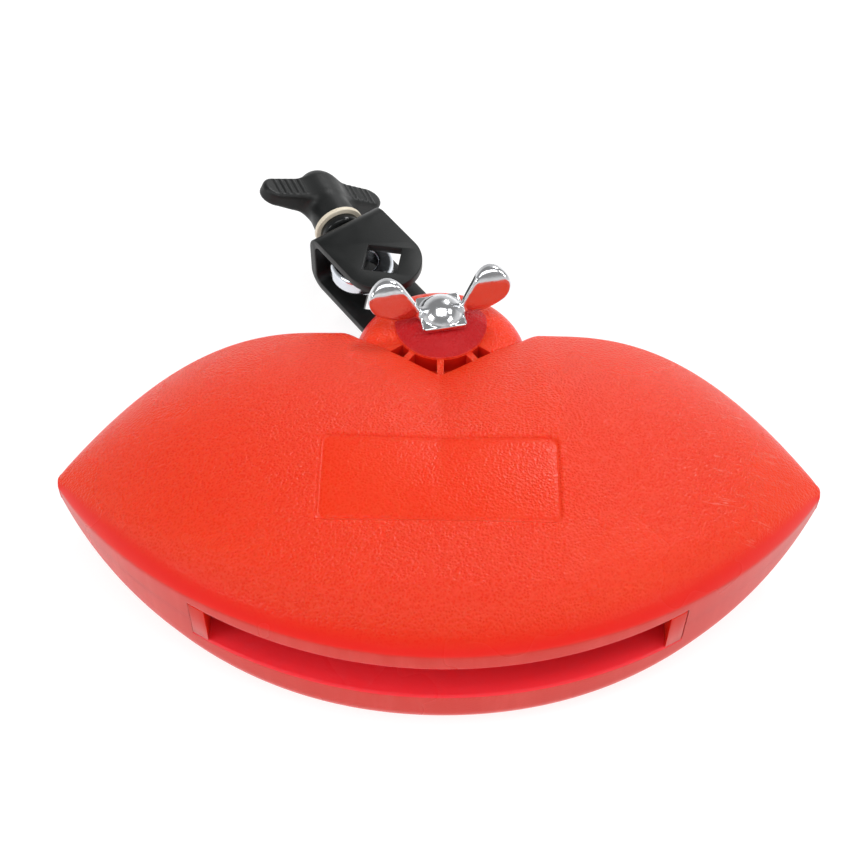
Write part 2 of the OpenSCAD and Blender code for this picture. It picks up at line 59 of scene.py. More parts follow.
BACK_POWER, LIP_POWER, EDGE_POWER, FALL_POWER = 2.33, 3.45, 2.2, 2.8
HALF_W = BODY_W / 2
FRONT_R = (HALF_W ** 2 + FRONT_SAG ** 2) / (2 * FRONT_SAG)
BACK_FALL = BODY_D - FRONT_SAG - TIP_W
TIP_CAP = TIP_W / 5
TIP_X = HALF_W - TIP_CAP
CAVITY_HALF_W = HALF_W - 2.4 * WALL
LUG_HALF = LUG_H / 2
HOLE_R = 4.4
CREASE_R = 0.9

# The clamp, as the solids have it
STRAP_T, BRACKET_H, WEB_D = 2.9, 21.0, 52.8
ARM_ANGLE, SKEW, SHIFT = 37.0, 12.0, 0.8
ARM_TOP = -LUG_HALF - 0.05
ARM_BOTTOM = ARM_TOP - STRAP_T
AXIS_Z = ARM_BOTTOM + BRACKET_H / 2
THREAD_R, PITCH = 4.0, 1.25
EYE_R, EYE_BORE, EYE_H = 10.0, 5.3, 6.2
EYE_E = -(STRAP_T / 2 + 0.3 + EYE_R) / math.cos(math.radians(SKEW))
COLLAR_E = (STRAP_T / 2 + 0.1 + 6.0 * math.sin(math.radians(SKEW))) / math.cos(math.radians(SKEW))
WASHER_E = COLLAR_E + 3.4
KNOB_E = WASHER_E + 1.6 + 0.05
SHANK_END = STRAP_T / 2 + 24
KNOB_L, KNOB_SPAN, KNOB_WING_W, KNOB_TURN = 24.4, 45.0, 9.2, 28.0
KNOB_WING_SHARE, KNOB_BORE = 0.592, SHANK_END + 3.3 - KNOB_E
KNOB_NECK, KNOB_HUB, KNOB_TIP_T = 14.6, 13.4, 5.0
WING_FOOT, WING_FOOT_H, WING_DOME_R, WING_DOME_H = 13.4, 2.0, 6.6, 4.0
WING_SPAN, EAR_R, EAR_L, EAR_T, EAR_LEAN, WING_YAW = 43.0, 5.9, 13.4, 2.2, 15.0, 12.0
EAR_FLAT, EAR_CURL_R, EAR_SWELL = 8.9, 6.0, 0.9
NUT_TOP = ARM_BOTTOM - 0.05 - 1.6
NUT_H = 5.0


def front_y(x):
    return FRONT_R - np.sqrt(FRONT_R ** 2 - x * x)


def soft_step(t):
    t = np.clip(t, 0.0, 1.0)
    return t * t * (3 - 2 * t)


def mix(a, b, t):
    return a + (b - a) * t


def back_y(x):
    a = np.abs(x)
    notch = BODY_D - NOTCH_D + a * math.tan(math.radians(NOTCH_ANGLE)) + NOTCH_FLARE * (a / LOBE_X) ** 4
    h = np.clip(0.5 + 0.5 * (notch - BODY_D) / NOTCH_BLEND, 0, 1)
    inner = mix(notch, BODY_D, h) - NOTCH_BLEND * h * (1 - h)
    outer = BODY_D - BACK_FALL * (np.maximum(a - LOBE_X, 0) / (HALF_W - LOBE_X)) ** BACK_POWER
    return np.where(a < LOBE_X, inner, outer)


def lip_half(x):
    return mix(LIP_H, TIP_H, (np.abs(x) / HALF_W) ** LIP_POWER) / 2


def lobe_share(x):
    a, b = 0.7 * POCKET_HALF_W, 0.75 * LOBE_X
    return soft_step((np.abs(x) - a) / (b - a))


def back_half(x):
    return mix(mix(NOTCH_H, BACK_H, lobe_share(x)), TIP_H, (np.abs(x) / HALF_W) ** EDGE_POWER) / 2


def section_ends(x):
    c = min(abs(x), TIP_X)
    middle, half = (front_y(c) + back_y(c)) / 2, (back_y(c) - front_y(c)) / 2
    share = math.sqrt(max(0.0, 1 - ((abs(x) - TIP_X) / TIP_CAP) ** 2)) if abs(x) > TIP_X else 1.0
    return float(middle - half * share), float(middle + half * share)


def face_z(x, v):
    crown = CROWN * (1 - (x / HALF_W) ** 2) * 4 * v * (1 - v)
    return mix(lip_half(x), back_half(x), v ** FALL_POWER) + crown


def section_sizes(x, shoulder):
    """Ends, fillets and end slope of the cross-section at x."""
    e0, e1 = section_ends(x)
    length = e1 - e0
    most = SHOULDER_SHARE * lip_half(x) / (1 - math.sin(math.radians(shoulder[1])))
    rf = float(min(shoulder[0], 0.4 * length, most))
    rb = float(min(mix(NOTCH_R, LOBE_R, lobe_share(x)), 0.4 * length, 0.8 * back_half(x)))
    crown = CROWN * (1 - (x / HALF_W) ** 2)
    slope = math.atan2(FALL_POWER * (lip_half(x) - back_half(x)) + 4 * crown, length - rf - rb / 2)
    return e0, e1, rf, rb, slope


def plate_mask(x, y):
    """1 on the bare plate, 0 outside, with a short slope between."""
    qx = np.abs(x) - (PLATE_W / 2 - PLATE_R)
    qy = np.abs(y - PLATE_Y) - (PLATE_L / 2 - PLATE_R)
    d = np.hypot(np.maximum(qx, 0), np.maximum(qy, 0)) + np.minimum(np.maximum(qx, qy), 0) - PLATE_R
    return soft_step(0.5 - d / 1.1), d


def face_rows(x, a, b):
    """Places of the face's points between a and b, gathered along the plate's front and back edges."""
    front, back = PLATE_Y - PLATE_L / 2, PLATE_Y + PLATE_L / 2
    marks = [a, front - 1.6, front + PLATE_R + 0.6, back - PLATE_R - 0.6, back + 1.6, b]
    counts = [14, 16, 10, 16, 26]
    parts = [np.linspace(m, n, c, endpoint=False) for m, n, c in zip(marks, marks[1:], counts)]
    near = np.concatenate(parts + [[b]])
    even = np.linspace(a, b, len(near))
    return mix(near, even, soft_step((abs(x) - 42) / 16))


def bend(a, corner, b, steps):
    """Points of a short soft curve from a to b that is drawn towards the corner between them."""
    shares = np.linspace(0, 1, steps)
    return [tuple((1 - t) ** 2 * p + 2 * t * (1 - t) * q + t * t * r for p, q, r in zip(a, corner, b))
            for t in shares]


def section(x, shoulder, inset=0.0, steps=None, foot=0.0, seam=0.0, plate=False):
    """Points of the cross-section at x, from the front foot over the face to the back foot."""
    e0, e1, rf, rb, slope = section_sizes(x, shoulder)
    start = math.radians(shoulder[1])
    y0, y1 = e0 + inset, e1 - inset
    rf, rb = max(rf - inset, inset / 2), max(rb - inset, inset / 2)
    zf, zb = float(face_z(x, 0.0)) - inset, float(face_z(x, 1.0)) - inset
    a, b = y0 + rf * math.cos(start), y1 - rb * (1 - math.sin(slope))
    wall_top = zf - rf * (1 - math.sin(start))
    low = foot + max(seam, 0.001)
    round_off = min(CREASE_R, 0.1 * rf, 0.2 * (wall_top - low))
    points = [(y0 + seam, foot)] + [(y0, mix(low, wall_top - round_off, i / 6)) for i in range(6)]
    arc = np.linspace(start + round_off / rf, math.pi / 2, 15)
    arc = [(a - rf * math.cos(t), zf - rf * (1 - math.sin(t))) for t in arc]
    points += bend((y0, wall_top - round_off), (y0, wall_top), arc[0], 4) + arc[1:-1]
    rows = face_rows(x, a, b) if steps is None else np.linspace(a, b, steps)
    v = np.clip((rows - a) / (b - a), 0, 1)
    z = face_z(x, v) - inset
    if plate:
        mask, d = plate_mask(x, rows)
        z = z - RECESS * mask - 0.16 * np.exp(-((d + 0.9) / 0.35) ** 2)
    points += list(zip(rows, z))
    arc = np.linspace(slope, math.pi / 2, 10)[1:]
    points += [(y1 - rb * (1 - math.sin(t)), zb - rb * (math.cos(slope) - math.cos(t))) for t in arc]
    wall_low = points[-1][1]
    points += [(y1, mix(wall_low, low, i / 3)) for i in range(1, 4)] + [(y1 - seam, foot)]
    return [(x, float(y), float(z)) for y, z in points]


def mesh_object(name, points, faces, smooth=True):
    mesh = bpy.data.meshes.new(name)
    mesh.from_pydata([tuple(map(float, p)) for p in points], [], [tuple(int(i) for i in f) for f in faces])
    mesh.validate()
    for polygon in mesh.polygons:
        polygon.use_smooth = smooth
    obj = bpy.data.objects.new(name, mesh)
    bpy.context.scene.collection.objects.link(obj)
    return obj


def loft(name, sections):
    """Closed solid through equal cross-sections."""
    n, m = len(sections[0]), len(sections)
    points = [p for s in sections for p in s]
    faces = [[i * n + j, i * n + (j + 1) % n, (i + 1) * n + (j + 1) % n, (i + 1) * n + j]
             for i in range(m - 1) for j in range(n)]
    faces += [list(range(n - 1, -1, -1)), list(range((m - 1) * n, m * n))]
    obj = mesh_object(name, points, faces)
    outward(obj)
    return obj


def outward(obj):
    bm = bmesh.new()
    bm.from_mesh(obj.data)
    bmesh.ops.recalc_face_normals(bm, faces=bm.faces)
    bm.to_mesh(obj.data)
    bm.free()


def revolve(name, profile, segments=96, centre=(0.0, 0.0, 0.0)):
    """Closed solid of a profile of (radius, height) turned about +Z. Ends at radius 0 close themselves."""
    points, faces, rings = [], [], []
    for r, z in profile:
        if r < 1e-6:
            rings.append([len(points)])
            points.append((centre[0], centre[1], centre[2] + z))
            continue
        rings.append(list(range(len(points), len(points) + segments)))
        for k in range(segments):
            t = 2 * math.pi * k / segments
            points.append((centre[0] + r * math.cos(t), centre[1] + r * math.sin(t), centre[2] + z))
    pairs = list(zip(rings, rings[1:]))
    if len(rings[0]) > 1 and len(rings[-1]) > 1:
        pairs.append((rings[-1], rings[0]))
    for low, high in pairs:
        for k in range(segments):
            quad = [low[k % len(low)], low[(k + 1) % len(low)], high[(k + 1) % len(high)], high[k % len(high)]]
            faces.append(list(dict.fromkeys(quad)))
    obj = mesh_object(name, points, faces)
    outward(obj)
    return obj


def prism(name, outline, low, high):
    """Straight extrusion of a plan outline between two heights."""
    n = len(outline)
    points = [(x, y, low) for x, y in outline] + [(x, y, high) for x, y in outline]
    faces = [[i, (i + 1) % n, n + (i + 1) % n, n + i] for i in range(n)]
    faces += [list(range(n - 1, -1, -1)), list(range(n, 2 * n))]
    obj = mesh_object(name, points, faces)
    outward(obj)
    return obj


def combine(obj, other, how):
    """Applies a boolean of obj with other and removes other."""
    modifier = obj.modifiers.new("cut", "BOOLEAN")
    modifier.operation, modifier.solver, modifier.object = how, "EXACT", other
    bake(obj)
    bpy.data.objects.remove(other)
    return obj


def bake(obj):
    """Makes the modifiers' result the object's own mesh."""
    graph = bpy.context.evaluated_depsgraph_get()
    graph.update()
    mesh = bpy.data.meshes.new_from_object(obj.evaluated_get(graph))
    old = obj.data
    obj.modifiers.clear()
    obj.data = mesh
    mesh.name = obj.name
    bpy.data.meshes.remove(old)


def soften(obj, angle=32.0, merge=0.0):
    """Smooth shading, with edges above the angle left crisp."""
    bm = bmesh.new()
    bm.from_mesh(obj.data)
    if merge:
        bmesh.ops.remove_doubles(bm, verts=bm.verts, dist=merge)
    bmesh.ops.dissolve_degenerate(bm, dist=1e-7, edges=bm.edges)
    for face in bm.faces:
        face.smooth = True
    limit = math.radians(angle)
    for edge in bm.edges:
        edge.smooth = not (len(edge.link_faces) == 2 and edge.calc_face_angle(0.0) > limit)
    bm.to_mesh(obj.data)
    bm.free()


def place(obj, matrix=None):
    """Takes a mesh in millimetres in the block's frame to its place in the row's frame, in metres."""
    to_part = Matrix.Diagonal((MM, MM, MM, 1)) @ Matrix.Translation((0, -SOLE_Y, MIDDLE_Z))
    obj.data.transform(to_part @ matrix if matrix is not None else to_part)
    obj.data.update()
    return obj


def turn(degrees, axis):
    return Matrix.Rotation(math.radians(degrees), 4, axis)


def top_z(x, y, shoulder):
    e0, e1, rf, rb, slope = section_sizes(x, shoulder)
    a, b = e0 + rf * math.cos(math.radians(shoulder[1])), e1 - rb * (1 - math.sin(slope))
    return float(face_z(x, min(1.0, max(0.0, (y - a) / (b - a)))))


MIDDLE_Z = top_z(0.0, SOLE_Y, LOWER_SHOULDER) - SOLE_FLAT
AT_PIVOT = Matrix.Translation((0, PIVOT_Y, 0))
ON_ARM = AT_PIVOT @ turn(ARM_ANGLE, "Z")
ON_EYEBOLT = ON_ARM @ Matrix.Translation((SHIFT, WEB_D - STRAP_T / 2, AXIS_Z)) @ turn(-SKEW, "Z")


def along_eyebolt(e):
    """Lays what is drawn along +Z onto the eyebolt's axis, at distance e from the web's hole."""
    return ON_EYEBOLT @ Matrix.Translation((0, e, 0)) @ turn(-90, "X")


# Smooth solids from distance fields

def surface_net(name, field, low, high, cell):
    """Closed mesh of field = 0, with each point moved onto the true surface."""
    low, high = np.array(low, float), np.array(high, float)
    n = np.ceil((high - low) / cell).astype(int) + 1
    axes = [low[i] + cell * np.arange(n[i]) for i in range(3)]
    grid = np.stack(np.meshgrid(*axes, indexing="ij"), -1)
    f = field(grid.reshape(-1, 3)).reshape(n)
    corners = [(i, j, k) for i in (0, 1) for j in (0, 1) for k in (0, 1)]
    value = {c: f[c[0]:n[0] - 1 + c[0], c[1]:n[1] - 1 + c[1], c[2]:n[2] - 1 + c[2]] for c in corners}
    inside = sum((value[c] < 0).astype(int) for c in corners)
    active = (inside > 0) & (inside < 8)
    index = np.full(active.shape, -1)
    index[active] = np.arange(active.sum())
    base = np.stack(np.nonzero(active), -1).astype(float)
    total, count = np.zeros_like(base), np.zeros(len(base))
    for a in corners:
        for d in range(3):
            if a[d] == 0:
                b = tuple(1 if i == d else a[i] for i in range(3))
                fa, fb = value[a][active], value[b][active]
                hit = (fa < 0) != (fb < 0)
                t = np.where(hit, fa / np.where(hit, fa - fb, 1.0), 0.0)
                crossing = np.array(a, float) + t[:, None] * (np.array(b) - np.array(a))
                total += np.where(hit[:, None], crossing, 0.0)
                count += hit
    points = low + cell * (base + total / count[:, None])
    faces = []
    for d in range(3):
        e, g = [i for i in range(3) if i != d]
        first = [slice(None)] * 3
        second = [slice(None)] * 3
        first[d], second[d] = slice(0, n[d] - 1), slice(1, n[d])
        fa, fb = f[tuple(first)], f[tuple(second)]
        hit = np.stack(np.nonzero((fa < 0) != (fb < 0)), -1)
        sign = (fa < 0)[tuple(hit.T)]
        keep = (hit[:, e] > 0) & (hit[:, g] > 0) & (hit[:, e] < n[e] - 1) & (hit[:, g] < n[g] - 1)
        hit, sign = hit[keep], sign[keep]
        quad = []
        for de, dg in ((0, 0), (-1, 0), (-1, -1), (0, -1)):
            cell_at = hit.copy()
            cell_at[:, e] += de
            cell_at[:, g] += dg
            quad.append(index[tuple(cell_at.T)])
        quad = np.stack(quad, -1)
        flip = sign if d != 1 else ~sign
        quad[flip] = quad[flip][:, ::-1]
        faces.append(quad)
    h = 0.02
    for _ in range(4):
        value_at = field(points)
        rise = [field(points + h * np.eye(3)[i]) - field(points - h * np.eye(3)[i]) for i in range(3)]
        slope = np.stack(rise, -1) / (2 * h)
        move = -value_at[:, None] * slope / np.maximum((slope ** 2).sum(1), 1e-6)[:, None]
        length = np.linalg.norm(move, axis=1, keepdims=True)
        points = points + move * np.minimum(1.0, 0.5 * cell / np.maximum(length, 1e-9))
    obj = mesh_object(name, points, np.concatenate(faces))
    outward(obj)
    return obj


def blend_min(a, b, k):
    h = np.clip(0.5 + 0.5 * (b - a) / k, 0, 1)
    return mix(b, a, h) - k * h * (1 - h)


def disc_hull(x, y, discs):
    """Signed distance in a plane to the hull of discs (x, y, radius)."""
    best = np.full(x.shape, -1e9)
    for t in np.linspace(0, 2 * math.pi, 96, endpoint=False):
        c, s = math.cos(t), math.sin(t)
        reach = max(c * cx + s * cy + r for cx, cy, r in discs)
        best = np.maximum(best, c * x + s * y - reach)
    return best


def rounded_pair(d, e, r):
    """Intersection of two distances with a rounded edge."""
    return np.hypot(np.maximum(d + r, 0), np.maximum(e + r, 0)) + np.minimum(np.maximum(d, e) + r, 0) - r


def wing_head_field(p):
    x, y, z = p[:, 0], p[:, 1], p[:, 2]
    ax, ay, half, corner_r = np.abs(x), np.abs(y), WING_FOOT / 2, 1.2
    foot = rounded_pair(np.maximum(ax, ay) - half, np.abs(z - WING_FOOT_H / 2) - WING_FOOT_H / 2, 0.55)
    corner = np.hypot(np.maximum(ax - half + corner_r, 0), np.maximum(ay - half + corner_r, 0)) - corner_r
    foot = np.maximum(foot, corner)
    r = (WING_DOME_R ** 2 + WING_DOME_H ** 2) / (2 * WING_DOME_H)
    dome = np.sqrt(x * x + y * y + (z - WING_FOOT_H - WING_DOME_H + r) ** 2) - r
    dome = np.maximum(dome, WING_FOOT_H - 1 - z)
    body = blend_min(foot, dome, 0.5)
    lean = math.radians(EAR_LEAN)
    up = z * math.cos(lean) + (y - EAR_T / 2) * math.sin(lean)
    depth = -(y - EAR_T / 2) * math.cos(lean) + z * math.sin(lean)
    heel_r, root_r = EAR_R / 2, EAR_T / 2
    discs = [(WING_SPAN / 2 - EAR_R, EAR_L - EAR_R, EAR_R), (WING_SPAN / 2 - EAR_R - heel_r, heel_r, heel_r),
             (half - 0.2, root_r + 0.2, root_r)]
    plan = disc_hull(ax, up, discs)
    over = np.clip(up - EAR_FLAT, 0, 0.87 * EAR_CURL_R)
    curl = EAR_CURL_R - np.sqrt(EAR_CURL_R ** 2 - over ** 2)
    swell = EAR_SWELL * soft_step(up / EAR_FLAT)
    sheet = np.maximum(-depth - curl - swell, depth + curl - EAR_T)
    ear = rounded_pair(plan, sheet, 0.95)
    body = blend_min(body, ear, 1.1)
    body = np.maximum(body, -z)
    bore = np.maximum(np.hypot(x, y) - THREAD_R, z - WING_FOOT_H - WING_DOME_H / 2)
    return np.maximum(body, -bore)


def knob_field(p):
    x, y, z = p[:, 0], p[:, 1], p[:, 2]
    ax, r = np.abs(x), np.hypot(x, y)
    neck = mix(KNOB_NECK / 2, KNOB_HUB / 2, soft_step(z / (KNOB_L / 2)))
    top = KNOB_L - KNOB_HUB / 2
    barrel = np.where(z > top, np.sqrt(r * r + (z - top) ** 2) - KNOB_HUB / 2, r - neck)
    barrel = rounded_pair(barrel, -z, 0.5)
    wing_z = KNOB_WING_SHARE * KNOB_L
    ends = [((KNOB_SPAN - KNOB_WING_W) / 2, wing_z, KNOB_WING_W / 2), (2.0, wing_z - 0.4, KNOB_WING_W / 2)]
    plan = disc_hull(ax, z, ends)
    share = np.clip((ax - KNOB_HUB / 4) / ((KNOB_SPAN - KNOB_WING_W) / 2 - KNOB_HUB / 4), 0, 1)
    half = mix(1.7 * KNOB_TIP_T, KNOB_TIP_T, share) / 2
    first, last = KNOB_HUB / 2 + KNOB_TIP_T / 2, KNOB_SPAN / 2 - KNOB_WING_W / 2
    phase = (ax - first) / (last - first) * 4
    ribs = np.where((phase > -0.5) & (phase < 4.5), np.clip(np.cos(2 * math.pi * phase), -0.3, 1), -0.3)
    ribs = ribs * soft_step((KNOB_WING_W / 2 - 0.4 - np.abs(z - wing_z)) / 1.2)
    wing = rounded_pair(plan, np.abs(y) - half - 0.32 * ribs, 1.3)
    body = blend_min(barrel, wing, 4.0)
    bore = np.maximum(r - 6.02, z - KNOB_L / 2 - 0.02)
    hole = np.maximum(r - HOLE_R, z - KNOB_BORE)
    return np.maximum(body, -np.minimum(bore, hole))


def eye_field(p):
    """Forged ring with its neck, drawn with the shank along +Y and the ring's centre at EYE_E."""
    x, y, z = p[:, 0], p[:, 1] - EYE_E, p[:, 2]
    r = np.hypot(x, y)
    ring = rounded_pair(r - EYE_R, np.abs(z) - EYE_H / 2, 1.6)
    neck = np.maximum(np.hypot(x, z) - THREAD_R + 0.25, np.maximum(-y, y + EYE_E + 1.5))
    body = blend_min(ring, neck, 1.0)
    return rounded_pair(body, EYE_BORE - r, 0.5)


def threaded_rod(name, length, first=0.0, chamfer=0.7):
    """Rod along +Z with a helical thread under its outer radius."""
    around, per_pitch = 48, 8
    rows = int(length / PITCH * per_pitch)
    points, faces = [], []
    for i in range(rows + 1):
        z = length * i / rows
        end = min(z, length - z)
        for k in range(around):
            t = 2 * math.pi * k / around
            phase = ((z + first) / PITCH - k / around) % 1.0
            depth = 0.55 * min(1.0, max(0.0, 2.4 * abs(phase - 0.5) - 0.1))
            radius = THREAD_R - max(depth, chamfer - end)
            points.append((radius * math.cos(t), radius * math.sin(t), z))
    for i in range(rows):
        for k in range(around):
            j = (k + 1) % around
            faces.append([i * around + k, i * around + j, (i + 1) * around + j, (i + 1) * around + k])
    faces += [list(range(around - 1, -1, -1)), list(range(rows * around, (rows + 1) * around))]
    obj = mesh_object(name, points, faces)
    outward(obj)
    return obj


def bevelled(node, name, width, segments=2, angle=32.0):
    """A copy of a CAD node's mesh with its edges rounded. It is already in place."""
    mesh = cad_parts[node].data.copy()
    mesh.name = name
    mesh.materials.clear()
    obj = bpy.data.objects.new(name, mesh)
    bpy.context.scene.collection.objects.link(obj)
    bm = bmesh.new()
    bm.from_mesh(mesh)
    bmesh.ops.remove_doubles(bm, verts=bm.verts, dist=2e-7)
    bmesh.ops.dissolve_limit(bm, angle_limit=math.radians(0.4), verts=bm.verts, edges=bm.edges)
    sharp = [e for e in bm.edges if len(e.link_faces) == 2 and e.calc_face_angle(0.0) > math.radians(angle)]
    bmesh.ops.bevel(bm, geom=sharp, offset=width * MM, offset_type="OFFSET", segments=segments, profile=0.5,
                    affect="EDGES", clamp_overlap=True)
    bmesh.ops.remove_doubles(bm, verts=bm.verts, dist=2e-7)
    bm.to_mesh(mesh)
    bm.free()
    soften(obj, 36.0)
    return obj


# Materials

class Look:
    """A node material on one Principled shader, with short calls for its nodes."""

    def __init__(self, name, **values):
        self.material = bpy.data.materials.new(name)
        self.material.use_nodes = True
        self.tree = self.material.node_tree
        self.shader = self.tree.nodes["Principled BSDF"]
        self.coords = self.add("ShaderNodeTexCoord").outputs["Object"]
        for key, value in values.items():
            self.shader.inputs[key.replace("_", " ")].default_value = value

    def add(self, kind, **inputs):
        node = self.tree.nodes.new(kind)
        for key, value in inputs.items():
            self.put(node.inputs[key.replace("_", " ")], value)
        return node

    def put(self, socket, value):
        if isinstance(value, bpy.types.NodeSocket):
            self.tree.links.new(value, socket)
        else:
            socket.default_value = value

    def math(self, how, a, b=0.0, c=0.0, clamp=False):
        node = self.tree.nodes.new("ShaderNodeMath")
        node.operation, node.use_clamp = how, clamp
        for socket, value in zip(node.inputs, (a, b, c)):
            self.put(socket, value)
        return node.outputs[0]

    def noise(self, scale, detail=2.0, rough=0.5, vector=None, distortion=0.0):
        node = self.add("ShaderNodeTexNoise", Vector=vector or self.coords, Scale=scale, Detail=detail,
                        Roughness=rough, Distortion=distortion)
        return node.outputs["Fac"]

    def cells(self, scale, smooth=0.6, vector=None):
        node = self.add("ShaderNodeTexVoronoi", Vector=vector or self.coords, Scale=scale)
        node.feature = "SMOOTH_F1"
        node.inputs["Smoothness"].default_value = smooth
        return node.outputs["Distance"]

    def ramp(self, value, low, high, to_low=0.0, to_high=1.0, smooth=True):
        node = self.add("ShaderNodeMapRange", Value=value)
        node.interpolation_type = "SMOOTHSTEP" if smooth else "LINEAR"
        for key, number in (("From Min", low), ("From Max", high), ("To Min", to_low), ("To Max", to_high)):
            node.inputs[key].default_value = number
        return node.outputs[0]

    def colour(self, factor, a, b):
        node = self.tree.nodes.new("ShaderNodeMix")
        node.data_type = "RGBA"
        self.put(node.inputs[0], factor)
        self.put(node.inputs[6], a if isinstance(a, bpy.types.NodeSocket) else (*a, 1))
        self.put(node.inputs[7], b if isinstance(b, bpy.types.NodeSocket) else (*b, 1))
        return node.outputs[2]

    def place(self):
        node = self.add("ShaderNodeSeparateXYZ", Vector=self.coords)
        return node.outputs

    def normal(self):
        geometry = self.add("ShaderNodeNewGeometry").outputs["Normal"]
        return self.add("ShaderNodeSeparateXYZ", Vector=geometry).outputs

    def stretched(self, scale, rotation=(0.0, 0.0, 0.0)):
        node = self.add("ShaderNodeMapping", Vector=self.coords)
        node.inputs["Scale"].default_value = scale
        node.inputs["Rotation"].default_value = rotation
        return node.outputs[0]

    def bump(self, height, distance, strength=1.0):
        node = self.add("ShaderNodeBump", Height=height, Strength=strength)
        node.inputs["Distance"].default_value = distance
        self.tree.links.new(node.outputs["Normal"], self.shader.inputs["Normal"])


def red_plastic(name, grain):
    """Moulded red plastic: leathery where it is grained, smooth on walls, in the slot and on the bare plate."""
    look = Look(name, IOR=1.49, Specular_IOR_Level=0.22, Subsurface_Weight=0.5, Subsurface_Scale=0.006,
                Subsurface_Radius=(1.0, 0.05, 0.05))
    x, y, z = look.place()
    nz = look.normal()[2]
    outward = look.math("MULTIPLY", nz, look.math("SIGN", look.math("SUBTRACT", z, MIDDLE_Z * MM)))
    outer = look.ramp(outward, -0.3, -0.1)
    level = look.ramp(outward, 0.58, 0.86)
    cloud = look.noise(18, 3, 0.6)
    base = look.colour(look.ramp(cloud, 0.3, 0.7), (0.80, 0.027, 0.002), (0.83, 0.035, 0.004))
    # pinker vertical streaks on the walls
    wall_streaks = look.ramp(look.noise(150, 4, 0.6, look.stretched((1.0, 1.0, 0.16))), 0.42, 0.72)
    # painted shade: the walls take a darker red and the lower shoulder a deep crimson, chosen by which way each
    # face points
    wall = look.colour(wall_streaks, (0.65, 0.018, 0.006), (0.69, 0.032, 0.018))
    shoulder = look.colour(look.ramp(outward, 0.15, 0.45), wall, (0.81, 0.014, 0.007))
    base = look.colour(level, shoulder, base)
    # painted light: inward faces, in the slot and the hollow, take a brighter red, standing in for light
    # glowing through the walls
    base = look.colour(outer, (0.94, 0.038, 0.054), base)
    pebble = look.cells(1300, 0.25)
    # painted glints: pale speckles on the pebble tops of level faces
    pebble_glint = look.math("MULTIPLY", look.ramp(pebble, 0.20, 0.55), level)
    base = look.colour(look.math("MULTIPLY", pebble_glint, 0.35), base, (0.90, 0.075, 0.028))
    # fine light scratches near the right tip
    streaks = look.noise(95, 5, 0.75, look.stretched((1.0, 7.0, 1.0), (0.0, 0.0, 0.7)))
    marks = look.math("MULTIPLY", look.ramp(streaks, 0.58, 0.66), look.ramp(x, 0.060, 0.078))
    marks = look.math("MULTIPLY", marks, level)
    base = look.colour(look.math("MULTIPLY", marks, 0.40), base, (0.90, 0.26, 0.19))
    # the boss under the wing head is painted a darker crimson: a painted shadow of the wing head
    from_pivot = look.math("SUBTRACT", y, (PIVOT_Y - SOLE_Y) * MM)
    squares = look.math("ADD", look.math("MULTIPLY", x, x), look.math("MULTIPLY", from_pivot, from_pivot))
    from_pivot = look.math("SQRT", squares)
    near = look.ramp(from_pivot, 0.0136, 0.0142, 1.0, 0.0)
    boss_shadow = look.math("MULTIPLY", near, look.ramp(z, 0.0314, 0.0318))
    base = look.colour(boss_shadow, base, (0.56, 0.008, 0.012))
    look.put(look.shader.inputs["Base Color"], base)
    if grain:
        fine = look.noise(2100, 3, 0.6)
        height = look.math("ADD", pebble, look.math("MULTIPLY", fine, 0.5))
        half_w, half_l = PLATE_W / 2 * MM, PLATE_L / 2 * MM
        on_x = look.ramp(look.math("ABSOLUTE", x), half_w - 0.0006, half_w + 0.0002, 1.0, 0.0)
        from_y = look.math("ABSOLUTE", look.math("SUBTRACT", y, (PLATE_Y - SOLE_Y) * MM))
        on_y = look.ramp(from_y, half_l - 0.0006, half_l + 0.0002, 1.0, 0.0)
        on_plate = look.math("MULTIPLY", look.math("MULTIPLY", on_x, on_y), look.ramp(z, 0.035, 0.036))
        calm = look.ramp(on_plate, 0.0, 1.0, 1.0, 0.35)
        amount = look.math("MULTIPLY", look.ramp(level, 0.0, 1.0, 0.06, 1.0), calm)
        look.bump(look.math("MULTIPLY", height, amount), 0.00026, 1.0)
    else:
        look.bump(look.noise(1500, 3, 0.6), 0.00003, 0.8)
    look.put(look.shader.inputs["Roughness"], look.ramp(cloud, 0.3, 0.7, 0.24, 0.30))
    return look.material


def chrome(name, tint=(0.80, 0.81, 0.83)):
    look = Look(name, Metallic=1.0)
    patch = look.noise(260, 3, 0.5)
    look.put(look.shader.inputs["Base Color"], look.colour(patch, tuple(0.9 * c for c in tint), tint))
    look.put(look.shader.inputs["Roughness"], look.ramp(look.noise(900, 3, 0.6), 0.3, 0.7, 0.10, 0.20))
    look.bump(look.noise(420, 2, 0.5), 0.00016, 0.5)
    return look.material


def steel(name):
    look = Look(name, Metallic=1.0)
    streak = look.noise(900, 4, 0.6, look.stretched((1.0, 1.0, 0.15)))
    look.put(look.shader.inputs["Base Color"], look.colour(streak, (0.42, 0.42, 0.43), (0.66, 0.66, 0.67)))
    look.put(look.shader.inputs["Roughness"], look.ramp(streak, 0.3, 0.7, 0.25, 0.42))
    look.bump(streak, 0.00003, 0.4)
    return look.material


def black_coat(name):
    look = Look(name, IOR=1.5, Specular_IOR_Level=0.28)
    cloud = look.noise(120, 4, 0.6)
    look.put(look.shader.inputs["Base Color"], look.colour(cloud, (0.006, 0.007, 0.007), (0.010, 0.011, 0.011)))
    look.put(look.shader.inputs["Roughness"], look.ramp(cloud, 0.3, 0.7, 0.36, 0.48))
    look.bump(look.noise(1800, 3, 0.6), 0.00005, 0.5)
    return look.material


def black_plastic(name, low, high, bump):
    look = Look(name, IOR=1.5, Specular_IOR_Level=0.32)
    cloud = look.noise(150, 4, 0.6)
    look.put(look.shader.inputs["Base Color"], look.colour(cloud, (0.006, 0.007, 0.007), (0.012, 0.013, 0.013)))
    look.put(look.shader.inputs["Roughness"], look.ramp(cloud, 0.3, 0.7, low, high))
    look.bump(look.noise(2200, 3, 0.6), 0.00006, bump)
    return look.material


